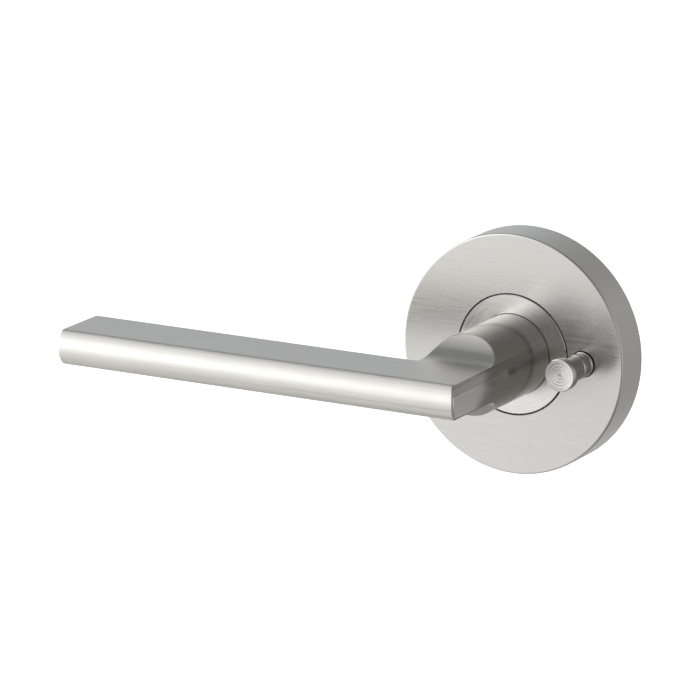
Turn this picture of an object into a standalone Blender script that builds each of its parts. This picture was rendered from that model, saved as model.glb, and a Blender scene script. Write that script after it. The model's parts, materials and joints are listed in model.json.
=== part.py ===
"""Privacy door lever on a round rose, room side half.

Local design frame: X to the right, Y up, Z out of the door into the room.
The frame empty turns that into the world frame, where -Y faces the room, +Z is up
and the origin is the centre of the rose's back, on the door's face.
"""

import math

import bmesh
import bpy
from mathutils import Matrix, Vector

MM = 0.001
GAP = 0.3 * MM
MERGE = 0.00001

# Rose
ROSE_R = 32.5 * MM
ROSE_DEPTH = 11.2 * MM
COVER_WALL = 1.2 * MM
COVER_EDGE = 0.4 * MM
ROSE_OPENING_R = 16.5 * MM

# Lever
NECK_R = 11.0 * MM
HUB_R = 8.0 * MM
HUB_FLAT = 7.0 * MM
HUB_END = -12.8 * MM
ARM_TIP_X = -108.0 * MM
ARM_HALF_HEIGHT = 4.75 * MM
ARM_BACK = 44.5 * MM
ARM_FRONT = 61.5 * MM
ARM_CROWN = 2.4 * MM
SCOOP_R = 8.0 * MM
SCOOP_START = 42.6 * MM
NECK_SHOULDER = 8.7 * MM
SPINDLE_SIDE = 8.0 * MM
SPINDLE_FRONT = 25.0 * MM
SPINDLE_BACK = -44.0 * MM
LEVER_SCREW_D = 20.0 * MM

# Collar and bearing
COLLAR_R = 16.1 * MM
BUSH_FLANGE_R = 13.0 * MM
BUSH_BARREL_R = 10.0 * MM

# Base plate, cage and fixings
PLATE_T = 4.0 * MM
BOLT_Y = 20.0 * MM
BOLT_R = 2.0 * MM
BOLT_END = -24.0 * MM
CAGE_R = 16.0 * MM
CAGE_WALL = 1.0 * MM
CAGE_DEPTH = 9.6 * MM
CAGE_SCREW_RING = 20.0 * MM
CAGE_SCREW_ANGLES = {"left": 130.0, "right": 310.0}

# Return spring and its stops
TURN_LIMIT = 45.0
TANG_ANGLE = 90.0
TANG_HALF_WIDTH = 2.5 * MM
TANG_REACH = 14.2 * MM
STOP_RING = 13.2 * MM
STOP_R = 1.0 * MM
SPRING_MEAN_R = 10.95 * MM
SPRING_WIRE_R = 0.65 * MM
SPRING_FRONT = -4.3 * MM
SPRING_BACK = -7.6 * MM
SPRING_TURNS = 2

# Privacy pin
PIN_X = 20.8 * MM
PIN_TRAVEL = 7.5 * MM
PIN_FRONT = 24.4 * MM
PIN_HEAD_R = 4.4 * MM
PIN_HEAD_T = 2.5 * MM
PIN_R = 3.35 * MM
PIN_ROD_R = 1.5 * MM
PIN_ROD_END = -12.0 * MM
DETENT_D = 5.0 * MM
DETENT_GROOVE = 0.4 * MM
DETENT_BORE_R = 1.5 * MM
DETENT_BALL_R = 1.2 * MM

FINE = 72
MEDIUM = 40
SMALL = 24


def clear_scene():
    for old in list(bpy.data.objects):
        bpy.data.objects.remove(old, do_unlink=True)


def make_collection(name):
    collection = bpy.data.collections.new(name)
    bpy.context.scene.collection.children.link(collection)
    return collection


def make_material(name, colour, roughness, metallic):
    material = bpy.data.materials.new(name)
    material.use_nodes = True
    shader = material.node_tree.nodes["Principled BSDF"]
    shader.inputs["Base Color"].default_value = (*colour, 1.0)
    shader.inputs["Roughness"].default_value = roughness
    shader.inputs["Metallic"].default_value = metallic
    return material


clear_scene()
PARTS = make_collection("door_lever_handle")
TOOLS = make_collection("cutters_and_guides")

FRAME = bpy.data.objects.new("handle_frame", None)
FRAME.rotation_euler = (math.radians(90), 0, 0)
PARTS.objects.link(FRAME)


def pivot(name, location=(0, 0, 0)):
    empty = bpy.data.objects.new(name, None)
    empty.location = location
    empty.parent = FRAME
    PARTS.objects.link(empty)
    return empty


LEVER_AXIS = pivot("lever_axis")
PIN_AXIS = pivot("pin_axis", (PIN_X, 0, 0))


def add_object(name, mesh, collection, parent=FRAME):
    thing = bpy.data.objects.new(name, mesh)
    thing.parent = parent
    collection.objects.link(thing)
    return thing


def as_part(thing, look, parent=FRAME):
    """A finished piece: its own material, smooth round faces, on its own body."""
    thing.data.materials.clear()
    thing.data.materials.append(make_material(thing.name, *look))
    thing.data.shade_smooth()
    thing.data.set_sharp_from_angle(angle=math.radians(30))
    thing.parent = parent
    return thing


def as_tool(thing):
    thing.hide_render = True
    thing.display_type = "WIRE"
    return thing


def turned(name, profile, collection=PARTS, steps=MEDIUM, closed=True, parent=FRAME):
    """A lathe-turned shape: (radius, depth) points, down the outer side, about Z."""
    mesh = bpy.data.meshes.new(name)
    count = len(profile)
    edges = [(i, i + 1) for i in range(count - 1)]
    if closed:
        edges.append((count - 1, 0))
    mesh.from_pydata([(r, 0, z) for r, z in profile], edges, [])
    thing = add_object(name, mesh, collection, parent)
    screw = thing.modifiers.new("turn", "SCREW")
    screw.axis = "Z"
    screw.steps = steps
    screw.render_steps = steps
    screw.use_merge_vertices = True
    screw.merge_threshold = MERGE
    screw.use_smooth_shade = True
    return thing


def rod(name, radius, low, high, collection=TOOLS, steps=SMALL, centre=(0, 0), parent=FRAME):
    """A plain cylinder along Z between two depths."""
    mesh = bpy.data.meshes.new(name)
    form = bmesh.new()
    place = Matrix.Translation((centre[0], centre[1], (low + high) / 2))
    bmesh.ops.create_cone(
        form, cap_ends=True, segments=steps, radius1=radius, radius2=radius,
        depth=high - low, matrix=place,
    )
    form.to_mesh(mesh)
    form.free()
    return add_object(name, mesh, collection, parent)


def upright_rod(name, radius, low, high, x, depth, collection=TOOLS, steps=SMALL):
    """A plain cylinder along Y between two heights."""
    mesh = bpy.data.meshes.new(name)
    form = bmesh.new()
    place = Matrix.Translation((x, (low + high) / 2, depth))
    bmesh.ops.create_cone(
        form, cap_ends=True, segments=steps, radius1=radius, radius2=radius,
        depth=high - low, matrix=place @ Matrix.Rotation(math.radians(90), 4, "X"),
    )
    form.to_mesh(mesh)
    form.free()
    return add_object(name, mesh, collection)


def block(name, low, high, collection=TOOLS, turn=0.0, parent=FRAME):
    """A box between two corners, turned about Z by an angle in degrees."""
    mesh = bpy.data.meshes.new(name)
    form = bmesh.new()
    size = Vector(high) - Vector(low)
    middle = (Vector(high) + Vector(low)) / 2
    spin = Matrix.Rotation(math.radians(turn), 4, "Z")
    place = spin @ Matrix.Translation(middle) @ Matrix.Diagonal((*size, 1))
    bmesh.ops.create_cube(form, size=1.0, matrix=place)
    form.to_mesh(mesh)
    form.free()
    return add_object(name, mesh, collection, parent)


def extruded(name, outline, half_width, collection=TOOLS):
    """A flat outline of (x, y) points made a prism of the given half width."""
    curve = bpy.data.curves.new(name, "CURVE")
    curve.dimensions = "2D"
    curve.fill_mode = "BOTH"
    curve.extrude = half_width
    spline = curve.splines.new("POLY")
    spline.points.add(len(outline) - 1)
    for point, (x, y) in zip(spline.points, outline):
        point.co = (x, y, 0, 1)
    spline.use_cyclic_u = True
    return curve_to_mesh(add_object(name + "_curve", curve, collection), name, collection)


def curve_to_mesh(source, name, collection, parent=FRAME):
    graph = bpy.context.evaluated_depsgraph_get()
    mesh = bpy.data.meshes.new_from_object(source.evaluated_get(graph))
    mesh.name = name
    form = bmesh.new()
    form.from_mesh(mesh)
    bmesh.ops.remove_doubles(form, verts=form.verts, dist=MERGE)
    bmesh.ops.recalc_face_normals(form, faces=form.faces)
    form.to_mesh(mesh)
    form.free()
    curve = source.data
    bpy.data.objects.remove(source, do_unlink=True)
    bpy.data.curves.remove(curve)
    return add_object(name, mesh, collection, parent)


def wire(name, points, radius, look, parent=FRAME):
    """A round wire through the points, with filled ends."""
    curve = bpy.data.curves.new(name, "CURVE")
    curve.dimensions = "3D"
    curve.bevel_depth = radius
    curve.bevel_resolution = 2
    curve.use_fill_caps = True
    spline = curve.splines.new("POLY")
    spline.points.add(len(points) - 1)
    for point, place in zip(spline.points, points):
        point.co = (*place, 1)
    thing = curve_to_mesh(add_object(name + "_curve", curve, PARTS), name, PARTS, parent)
    return as_part(thing, look, parent)


def combine(target, tool, operation):
    step = target.modifiers.new(tool.name, "BOOLEAN")
    step.operation = operation
    step.solver = "EXACT"
    step.object = as_tool(tool)
    return target


def cut(target, tool):
    return combine(target, tool, "DIFFERENCE")


def join(target, tool):
    return combine(target, tool, "UNION")


def ring_profile(outer, inner, low, high, edge=0.0):
    """A plain washer or bush section, with an optional small outer chamfer."""
    top = [(outer - edge, high), (outer, high - edge)] if edge else [(outer, high)]
    foot = [(outer, low + edge), (outer - edge, low)] if edge else [(outer, low)]
    return top + foot + [(inner, low), (inner, high)]


def polar(radius, degrees):
    angle = math.radians(degrees)
    return (radius * math.cos(angle), radius * math.sin(angle))


def arc(centre, radius, start, end, count):
    """Points on an arc, in degrees, ends included."""
    step = (end - start) / (count - 1)
    spots = (polar(radius, start + step * i) for i in range(count))
    return [(centre[0] + u, centre[1] + v) for u, v in spots]


SATIN = ((0.55, 0.54, 0.52), 0.30, 1.0)
SATIN_TURNED = ((0.60, 0.59, 0.57), 0.26, 1.0)
STEEL = ((0.46, 0.47, 0.48), 0.35, 1.0)
SPRING_STEEL = ((0.30, 0.31, 0.33), 0.38, 1.0)
ZINC = ((0.42, 0.43, 0.44), 0.50, 1.0)
PRESSED = ((0.52, 0.50, 0.44), 0.42, 1.0)
NYLON = ((0.82, 0.81, 0.77), 0.48, 0.0)
BRASS = ((0.66, 0.50, 0.24), 0.34, 1.0)


# ---------------------------------------------------------------- lever

def side_outline():
    """The lever seen along X: full neck, scoop down to the arm, crowned front."""
    scoop_centre = (SCOOP_START, ARM_HALF_HEIGHT + SCOOP_R)
    wide = NECK_R + 2 * MM
    wall = math.degrees(math.asin((wide - scoop_centre[1]) / SCOOP_R))
    scoop = arc(scoop_centre, SCOOP_R, wall, -90, 9)
    crown_r = (ARM_HALF_HEIGHT ** 2 + ARM_CROWN ** 2) / (2 * ARM_CROWN)
    reach = math.degrees(math.asin(ARM_HALF_HEIGHT / crown_r))
    crown = arc((-(ARM_FRONT + ARM_CROWN - crown_r), 0), crown_r, 180 - reach, 180 + reach, 9)
    upper = [(-z, y) for z, y in scoop_mirror(scoop)]
    lower = [(z, -y) for z, y in reversed(upper)]
    back = [(20 * MM, wide), (20 * MM, -wide)]
    return [back[0]] + upper + crown + lower + [back[1]]


def scoop_mirror(points):
    """The scoop is cut from the neck side, so its arc runs back from the arm."""
    return [(2 * SCOOP_START - z, y) for z, y in points]


def make_lever():
    neck = turned(
        "lever_handle",
        [
            (0, ARM_FRONT + 4 * MM),
            (NECK_R, ARM_FRONT + 4 * MM),
            (NECK_R, NECK_SHOULDER),
            (HUB_R, NECK_SHOULDER),
            (HUB_R, -10.5 * MM),
            (7.2 * MM, -10.5 * MM),
            (7.2 * MM, -12.1 * MM),
            (HUB_R, -12.1 * MM),
            (HUB_R, HUB_END),
            (0, HUB_END),
        ],
        steps=FINE,
        closed=False,
    )
    tall = NECK_R + 3 * MM
    arm = block("arm_stock", (ARM_TIP_X, -tall, ARM_BACK), (0, tall, ARM_FRONT + 4 * MM))
    join(neck, arm)
    profile = extruded("side_profile", side_outline(), 125 * MM)
    profile.rotation_euler = (0, math.radians(90), 0)
    combine(neck, profile, "INTERSECT")
    half = SPINDLE_SIDE / 2 + GAP
    cut(neck, block("spindle_socket", (-half, -half, HUB_END - 1 * MM), (half, half, SPINDLE_FRONT + GAP)))
    for side in (1, -1):
        near, far = sorted((side * HUB_FLAT, side * 10 * MM))
        cut(neck, block(f"hub_flat_{side}", (-10 * MM, near, -14 * MM), (10 * MM, far, -0.7 * MM)))
    cut(neck, upright_rod("lever_screw_bore", 2.8 * MM, -12 * MM, -half + 1 * MM, 0, LEVER_SCREW_D))
    return as_part(neck, SATIN, LEVER_AXIS)


def hex_socket(name, across, low, high, x, depth, upright):
    """A hexagon key recess, as a six-sided cutter."""
    radius = across / math.sqrt(3)
    if upright:
        return upright_rod(name, radius, low, high, x, depth, steps=6)
    return rod(name, radius, low, high, centre=(x, depth), steps=6)


def make_lever_screw():
    top = -(SPINDLE_SIDE / 2 + GAP)
    low = -10.6 * MM
    screw = upright_rod("lever_grub_screw", 2.5 * MM, low, top, 0, LEVER_SCREW_D, PARTS)
    cut(screw, hex_socket("lever_screw_key", 2.5 * MM, low - 1 * MM, low + 3 * MM, 0, LEVER_SCREW_D, True))
    return as_part(screw, SPRING_STEEL, LEVER_AXIS)


def make_spindle():
    half = SPINDLE_SIDE / 2
    bar = block("spindle", (-half, -half, SPINDLE_BACK), (half, half, SPINDLE_FRONT), PARTS)
    bevel = bar.modifiers.new("edges", "BEVEL")
    bevel.width = 0.5 * MM
    bevel.segments = 1
    return as_part(bar, STEEL, LEVER_AXIS)


def make_collar():
    collar = turned(
        "neck_collar",
        ring_profile(COLLAR_R, NECK_R + GAP, NECK_SHOULDER, ROSE_DEPTH, 0.2 * MM),
        steps=FINE,
    )
    return as_part(collar, SATIN_TURNED, LEVER_AXIS)


def make_washers():
    bore = HUB_R + GAP
    thrust = turned("thrust_washer", ring_profile(13.5 * MM, bore, 7.6 * MM, 8.4 * MM))
    as_part(thrust, STEEL, LEVER_AXIS)
    hub = turned("hub_washer", ring_profile(12.0 * MM, bore, -10.5 * MM, -9.9 * MM))
    as_part(hub, STEEL, LEVER_AXIS)


def make_retaining_ring():
    ring = turned("retaining_ring", ring_profile(10.5 * MM, 7.5 * MM, -11.8 * MM, -10.8 * MM))
    cut(ring, block("ring_mouth", (-4.5 * MM, -12 * MM, -13 * MM), (4.5 * MM, 0, -10 * MM)))
    return as_part(ring, SPRING_STEEL, LEVER_AXIS)


def make_driver():
    """Sleeve keyed to the hub's flats, with one tang that the spring pushes."""
    front = -1.0 * MM
    driver = rod("spring_driver", 9.8 * MM, -8.3 * MM, front, PARTS, MEDIUM)
    tang = block(
        "driver_tang",
        (9.0 * MM, -TANG_HALF_WIDTH, -3.2 * MM),
        (TANG_REACH, TANG_HALF_WIDTH, front),
        turn=TANG_ANGLE,
    )
    join(driver, tang)
    bore = rod("driver_bore", HUB_R + GAP, -9 * MM, 0, steps=MEDIUM)
    flat = HUB_FLAT + GAP
    combine(bore, block("driver_flats", (-12 * MM, -flat, -10 * MM), (12 * MM, flat, 1 * MM)), "INTERSECT")
    cut(driver, bore)
    return as_part(driver, ZINC, LEVER_AXIS)


# ---------------------------------------------------------------- rose

def make_cover():
    inner = ROSE_R - COVER_WALL
    under = ROSE_DEPTH - COVER_WALL
    rim = arc((ROSE_R - COVER_EDGE, ROSE_DEPTH - COVER_EDGE), COVER_EDGE, 90, 0, 3)
    cover = turned(
        "rose_cover",
        [(ROSE_OPENING_R, ROSE_DEPTH)] + rim + [
            (ROSE_R, 0),
            (inner, 0),
            (inner, under),
            (ROSE_OPENING_R, under),
        ],
        steps=FINE,
    )
    cut(cover, rod("cover_pin_hole", PIN_R + GAP, 8 * MM, 13 * MM, centre=(PIN_X, 0)))
    cut(cover, upright_rod("cover_screw_hole", 1.55 * MM, -34 * MM, -30 * MM, 0, PLATE_T / 2))
    return as_part(cover, SATIN)


def make_base_plate():
    boss_r = 14.0 * MM
    plate_r = ROSE_R - COVER_WALL - GAP
    bore = BUSH_BARREL_R + GAP
    plate = turned(
        "base_plate",
        [(boss_r, 6.0 * MM), (boss_r, PLATE_T), (plate_r, PLATE_T), (plate_r, 0), (bore, 0), (bore, 6.0 * MM)],
        steps=FINE,
    )
    cut(plate, upright_rod("cover_screw_thread", 1.55 * MM, -32 * MM, -25 * MM, 0, PLATE_T / 2))
    boss_top = 8.2 * MM
    join(plate, rod("pin_boss", 7.0 * MM, 1 * MM, boss_top, centre=(PIN_X, 0), steps=MEDIUM))
    block_half = 3.0 * MM
    block_low = (PIN_X - block_half, 5.6 * MM, 1.5 * MM)
    block_high = (PIN_X + block_half, 15 * MM, boss_top - 0.4 * MM)
    join(plate, block("detent_block", block_low, block_high))
    cut(plate, rod("pin_boss_bore", 5.3 * MM, -1 * MM, 9 * MM, centre=(PIN_X, 0), steps=MEDIUM))
    cut(plate, upright_rod("detent_bore", DETENT_BORE_R, 3 * MM, 16 * MM, PIN_X, DETENT_D))
    for side, y in (("upper", BOLT_Y), ("lower", -BOLT_Y)):
        cut(plate, rod(f"bolt_hole_{side}", BOLT_R + GAP, -1 * MM, 5 * MM, centre=(0, y)))
    for side, angle in CAGE_SCREW_ANGLES.items():
        cut(plate, rod(f"cage_thread_{side}", 1.8 * MM, -1 * MM, 3.4 * MM, centre=polar(CAGE_SCREW_RING, angle)))
    return as_part(plate, ZINC)


def make_bush():
    bore = HUB_R + GAP
    bush = turned(
        "neck_bush",
        [
            (BUSH_FLANGE_R, 7.3 * MM),
            (BUSH_FLANGE_R, 6.3 * MM),
            (BUSH_BARREL_R, 6.3 * MM),
            (BUSH_BARREL_R, 0.3 * MM),
            (bore, 0.3 * MM),
            (bore, 7.3 * MM),
        ],
        steps=MEDIUM,
    )
    return as_part(bush, NYLON)


def make_cage():
    front = -GAP
    floor = -CAGE_DEPTH + CAGE_WALL
    inner = CAGE_R - CAGE_WALL
    hole = HUB_R + 2 * GAP
    cage = turned(
        "spring_cage",
        [(CAGE_R, front), (CAGE_R, -CAGE_DEPTH), (hole, -CAGE_DEPTH), (hole, floor), (inner, floor), (inner, front)],
        steps=FINE,
    )
    lug_back = front - 1.0 * MM
    lug_half = 4.0 * MM
    for side, angle in CAGE_SCREW_ANGLES.items():
        lug = rod(f"lug_end_{side}", lug_half, lug_back, front, centre=polar(CAGE_SCREW_RING, angle))
        arm = block(
            f"lug_arm_{side}",
            (15.3 * MM, -lug_half, lug_back),
            (CAGE_SCREW_RING, lug_half, front),
            turn=angle,
        )
        join(lug, arm)
        join(cage, lug)
        cut(cage, rod(f"lug_hole_{side}", 1.8 * MM, -3 * MM, 1 * MM, centre=polar(CAGE_SCREW_RING, angle)))
    slot = SPRING_WIRE_R + GAP
    cut(cage, block("leg_slot", (-slot, -18 * MM, SPRING_BACK - slot), (slot, -13 * MM, SPRING_BACK + slot)))
    return as_part(cage, PRESSED)


def make_cage_screws():
    for side, angle in CAGE_SCREW_ANGLES.items():
        x, y = polar(CAGE_SCREW_RING, angle)
        screw = turned(
            f"cage_screw_{side}",
            [(0, 3.0 * MM), (1.5 * MM, 3.0 * MM), (1.5 * MM, -1.6 * MM), (2.7 * MM, -1.6 * MM),
             (2.7 * MM, -2.6 * MM), (2.1 * MM, -3.3 * MM), (0, -3.3 * MM)],
            steps=SMALL, closed=False,
        )
        screw.location = (x, y, 0)
        key = hex_socket(f"cage_key_{side}", 2.0 * MM, -4 * MM, -2.3 * MM, x, y, False)
        cut(screw, key)
        as_part(screw, STEEL)


def make_stop_pins():
    """Two rivets that the tang meets at rest and at full turn."""
    half_tang = math.degrees(math.asin(TANG_HALF_WIDTH / STOP_RING))
    clear = math.degrees((STOP_R + GAP) / STOP_RING)
    angles = {
        "rest": TANG_ANGLE - half_tang - clear,
        "turned": TANG_ANGLE + TURN_LIMIT + half_tang + clear,
    }
    for side, angle in angles.items():
        x, y = polar(STOP_RING, angle)
        pin = turned(
            f"stop_pin_{side}",
            [(0, -GAP), (STOP_R, -GAP), (STOP_R, -8.3 * MM), (0, -8.3 * MM)],
            steps=SMALL, closed=False,
        )
        pin.location = (x, y, 0)
        as_part(pin, STEEL)


def make_return_spring():
    """Torsion spring: one leg beside the driver's tang, the other in the cage's slot."""
    leg_gap = math.degrees((TANG_HALF_WIDTH + GAP + SPRING_WIRE_R) / SPRING_MEAN_R)
    start = TANG_ANGLE + leg_gap
    end = 270.0 + 360.0 * SPRING_TURNS
    per_turn = 22
    count = int(per_turn * (end - start) / 360.0)
    coil = []
    for i in range(count + 1):
        share = i / count
        x, y = polar(SPRING_MEAN_R, start + (end - start) * share)
        coil.append((x, y, SPRING_FRONT + (SPRING_BACK - SPRING_FRONT) * share))
    x, y = polar(SPRING_MEAN_R, start)
    front_leg = [(x, y, -1.7 * MM), (x, y, -3.4 * MM)]
    back_leg = [(0, -12.6 * MM, SPRING_BACK), (0, -15.9 * MM, SPRING_BACK)]
    return wire("return_spring", front_leg + coil + back_leg, SPRING_WIRE_R, SPRING_STEEL)


def make_fixing_bolts():
    for side, y in (("upper", BOLT_Y), ("lower", -BOLT_Y)):
        washer = turned(f"bolt_washer_{side}", ring_profile(4.4 * MM, BOLT_R + GAP, 4.3 * MM, 5.1 * MM), steps=SMALL)
        washer.location = (0, y, 0)
        as_part(washer, STEEL)
        dome = arc((2.6 * MM, 6.6 * MM), 1.2 * MM, 90, 0, 4)
        bolt = turned(
            f"fixing_bolt_{side}",
            [(0, 7.8 * MM)] + dome + [
                (3.8 * MM, 5.4 * MM),
                (BOLT_R, 5.4 * MM),
                (BOLT_R, BOLT_END + 0.6 * MM),
                (BOLT_R - 0.6 * MM, BOLT_END),
                (0, BOLT_END),
            ],
            steps=SMALL, closed=False,
        )
        bolt.location = (0, y, 0)
        cut(bolt, hex_socket(f"bolt_key_{side}", 2.5 * MM, 6.3 * MM, 9 * MM, 0, y, False))
        as_part(bolt, STEEL)


def make_cover_screw():
    screw = upright_rod("cover_grub_screw", 1.25 * MM, -32.2 * MM, -25.3 * MM, 0, PLATE_T / 2, PARTS, 16)
    cut(screw, hex_socket("cover_screw_key", 1.3 * MM, -33 * MM, -30.7 * MM, 0, PLATE_T / 2, True))
    return as_part(screw, SPRING_STEEL)


# ---------------------------------------------------------------- privacy pin

def make_privacy_pin():
    """Turned pin: head, finger groove, marking ring and two detent grooves."""
    head_back = PIN_FRONT - PIN_HEAD_T
    grip_back = head_back - 2.0 * MM
    ring = 16.0 * MM
    back = -0.2 * MM
    deep = PIN_R - DETENT_GROOVE
    profile = [
        (0, PIN_FRONT),
        (PIN_HEAD_R - 0.3 * MM, PIN_FRONT),
        (PIN_HEAD_R, PIN_FRONT - 0.3 * MM),
        (PIN_HEAD_R, head_back + 0.3 * MM),
        (PIN_HEAD_R - 0.3 * MM, head_back),
    ]
    cove = arc((PIN_R, (head_back + grip_back) / 2), 1.0 * MM, 90, 270, 7)
    profile += [(r, z) for r, z in cove]
    profile += [(PIN_R, ring + 0.4 * MM), (deep, ring + 0.15 * MM), (deep, ring - 0.15 * MM), (PIN_R, ring - 0.4 * MM)]
    for middle in (DETENT_D + PIN_TRAVEL, DETENT_D):
        profile += [(PIN_R, middle + 0.7 * MM), (deep, middle), (PIN_R, middle - 0.7 * MM)]
    bore = PIN_ROD_R + GAP
    profile += [(PIN_R, back), (bore, back), (bore, 6.0 * MM), (0, 6.0 * MM)]
    pin = turned("privacy_pin", profile, steps=MEDIUM, closed=False)
    return as_part(pin, SATIN_TURNED, PIN_AXIS)


def make_pin_rod():
    groove = (-0.35 * MM, -1.45 * MM)
    slim = PIN_ROD_R - 0.4 * MM
    profile = [
        (0, 5.7 * MM),
        (PIN_ROD_R, 5.7 * MM),
        (PIN_ROD_R, groove[0]),
        (slim, groove[0]),
        (slim, groove[1]),
        (PIN_ROD_R, groove[1]),
        (PIN_ROD_R, PIN_ROD_END + 0.5 * MM),
        (PIN_ROD_R - 0.5 * MM, PIN_ROD_END),
        (0, PIN_ROD_END),
    ]
    link = turned("pin_link_rod", profile, steps=SMALL, closed=False)
    return as_part(link, STEEL, PIN_AXIS)


def make_pin_clip():
    clip = turned("pin_stop_clip", ring_profile(4.3 * MM, 1.4 * MM, -1.3 * MM, -0.5 * MM), steps=SMALL)
    cut(clip, block("clip_mouth", (PIN_X - 1.2 * MM, -6 * MM, -2 * MM), (PIN_X + 1.2 * MM, 0, 1 * MM)))
    return as_part(clip, SPRING_STEEL, PIN_AXIS)


def make_pin_guide():
    guide = turned("pin_guide", ring_profile(5.0 * MM, PIN_R + GAP, 0.3 * MM, 8.3 * MM), steps=MEDIUM)
    guide.location = (PIN_X, 0, 0)
    cut(guide, upright_rod("guide_ball_hole", DETENT_BORE_R, 1 * MM, 7 * MM, PIN_X, DETENT_D))
    return as_part(guide, BRASS)


def make_detent():
    rest = PIN_R + GAP
    mesh = bpy.data.meshes.new("detent_ball")
    form = bmesh.new()
    place = Matrix.Translation((PIN_X, rest + DETENT_BALL_R, DETENT_D))
    bmesh.ops.create_uvsphere(form, u_segments=16, v_segments=10, radius=DETENT_BALL_R, matrix=place)
    form.to_mesh(mesh)
    form.free()
    as_part(add_object("detent_ball", mesh, PARTS), STEEL)

    wire_r = 0.2 * MM
    coil_r = 0.85 * MM
    low = rest + 2 * DETENT_BALL_R + GAP + wire_r
    high = 10.3 * MM
    turns = 5
    per_turn = 12
    count = turns * per_turn
    points = []
    for i in range(count + 1):
        x, z = polar(coil_r, 360.0 * i / per_turn)
        points.append((PIN_X + x, low + (high - low) * i / count, DETENT_D + z))
    wire("detent_spring", points, wire_r, SPRING_STEEL)

    plug = upright_rod("detent_plug", 1.2 * MM, 10.9 * MM, 14.7 * MM, PIN_X, DETENT_D, PARTS, 16)
    cut(plug, hex_socket("plug_key", 1.2 * MM, 13.2 * MM, 16 * MM, PIN_X, DETENT_D, True))
    as_part(plug, STEEL)


make_lever()
make_lever_screw()
make_spindle()
make_collar()
make_washers()
make_retaining_ring()
make_driver()
make_cover()
make_base_plate()
make_bush()
make_cage()
make_cage_screws()
make_stop_pins()
make_return_spring()
make_fixing_bolts()
make_cover_screw()
make_privacy_pin()
make_pin_rod()
make_pin_clip()
make_pin_guide()
make_detent()
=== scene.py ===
# %% [markdown]
# # A privacy door lever in satin nickel
# The handle is the room side half of a set: a round rose, a flat straight lever and a
# push-pull pin that locks the latch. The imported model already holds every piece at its
# true size. This lesson gives the pieces their fine shape and their finish, piece by
# piece, and never moves or resizes anything.

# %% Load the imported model
import json
import math

import bmesh
import bpy
from mathutils import Matrix, Vector

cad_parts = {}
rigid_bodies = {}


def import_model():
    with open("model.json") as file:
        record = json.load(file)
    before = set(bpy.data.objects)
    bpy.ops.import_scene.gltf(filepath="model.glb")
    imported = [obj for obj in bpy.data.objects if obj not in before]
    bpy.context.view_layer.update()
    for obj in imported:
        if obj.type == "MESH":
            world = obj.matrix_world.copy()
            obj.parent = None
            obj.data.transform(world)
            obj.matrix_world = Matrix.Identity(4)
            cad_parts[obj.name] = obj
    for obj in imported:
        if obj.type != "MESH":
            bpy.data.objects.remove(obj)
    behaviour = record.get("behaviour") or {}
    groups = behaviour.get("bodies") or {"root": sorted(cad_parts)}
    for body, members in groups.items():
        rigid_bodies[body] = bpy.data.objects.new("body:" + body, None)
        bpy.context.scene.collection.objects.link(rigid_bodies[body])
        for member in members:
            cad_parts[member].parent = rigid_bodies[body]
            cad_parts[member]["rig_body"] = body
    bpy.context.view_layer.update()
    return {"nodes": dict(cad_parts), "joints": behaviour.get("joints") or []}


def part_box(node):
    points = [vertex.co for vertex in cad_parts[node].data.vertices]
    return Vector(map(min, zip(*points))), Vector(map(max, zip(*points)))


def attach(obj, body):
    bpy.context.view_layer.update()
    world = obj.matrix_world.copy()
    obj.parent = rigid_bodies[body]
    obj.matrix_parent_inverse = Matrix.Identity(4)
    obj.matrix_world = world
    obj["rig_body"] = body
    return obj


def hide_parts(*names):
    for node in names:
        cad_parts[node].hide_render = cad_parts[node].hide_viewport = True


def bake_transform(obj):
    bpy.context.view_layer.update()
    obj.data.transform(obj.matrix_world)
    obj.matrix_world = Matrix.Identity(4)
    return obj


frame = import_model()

MM = 0.001
MICRON = 0.000001
WELD = 0.5 * MICRON

# %% [markdown]
# ## Where things are
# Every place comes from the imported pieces. Along the lever's axis a depth is counted from
# the door's face out into the room, so a depth is minus Y. A box of a piece then gives
# its nearest and furthest depth.

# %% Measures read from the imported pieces


def depths(node):
    """How far a piece reaches from the door's face: (least, most), towards the room."""
    low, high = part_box(node)
    return -high.y, -low.y


def half_width(node):
    low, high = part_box(node)
    return (high.x - low.x) / 2


def middle(node):
    low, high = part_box(node)
    return (low + high) / 2


ROSE_R = half_width("rose_cover")
ROSE_DEPTH = depths("rose_cover")[1]
COLLAR_R = half_width("neck_collar")
COLLAR_BACK = depths("neck_collar")[0]
NECK_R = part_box("lever_handle")[1].z
TIP_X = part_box("lever_handle")[0].x
LEVER_FRONT = depths("lever_handle")[1]
HUB_END = depths("lever_handle")[0]
PIN_X = middle("privacy_pin").x
PIN_FRONT = depths("privacy_pin")[1]
PIN_HEAD_R = half_width("privacy_pin")
print(f"rose {ROSE_R / MM:.1f} mm radius, neck {NECK_R / MM:.1f} mm, pin at {PIN_X / MM:.1f} mm")

# %% [markdown]
# ## Finishes
# Satin nickel is plated metal with a fine directional grain. The grain does three things:
# it changes the roughness in long streaks, it lifts the surface by a few thousandths of
# a millimetre, and it smears reflections across itself. Noise stretched along the grain
# makes the first two, and the shader's anisotropy with a tangent across the grain makes
# the third. A turned piece has the same grain bent into rings, so its noise is read from
# the distance to the axis.

# %% Helpers for shader trees


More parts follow.
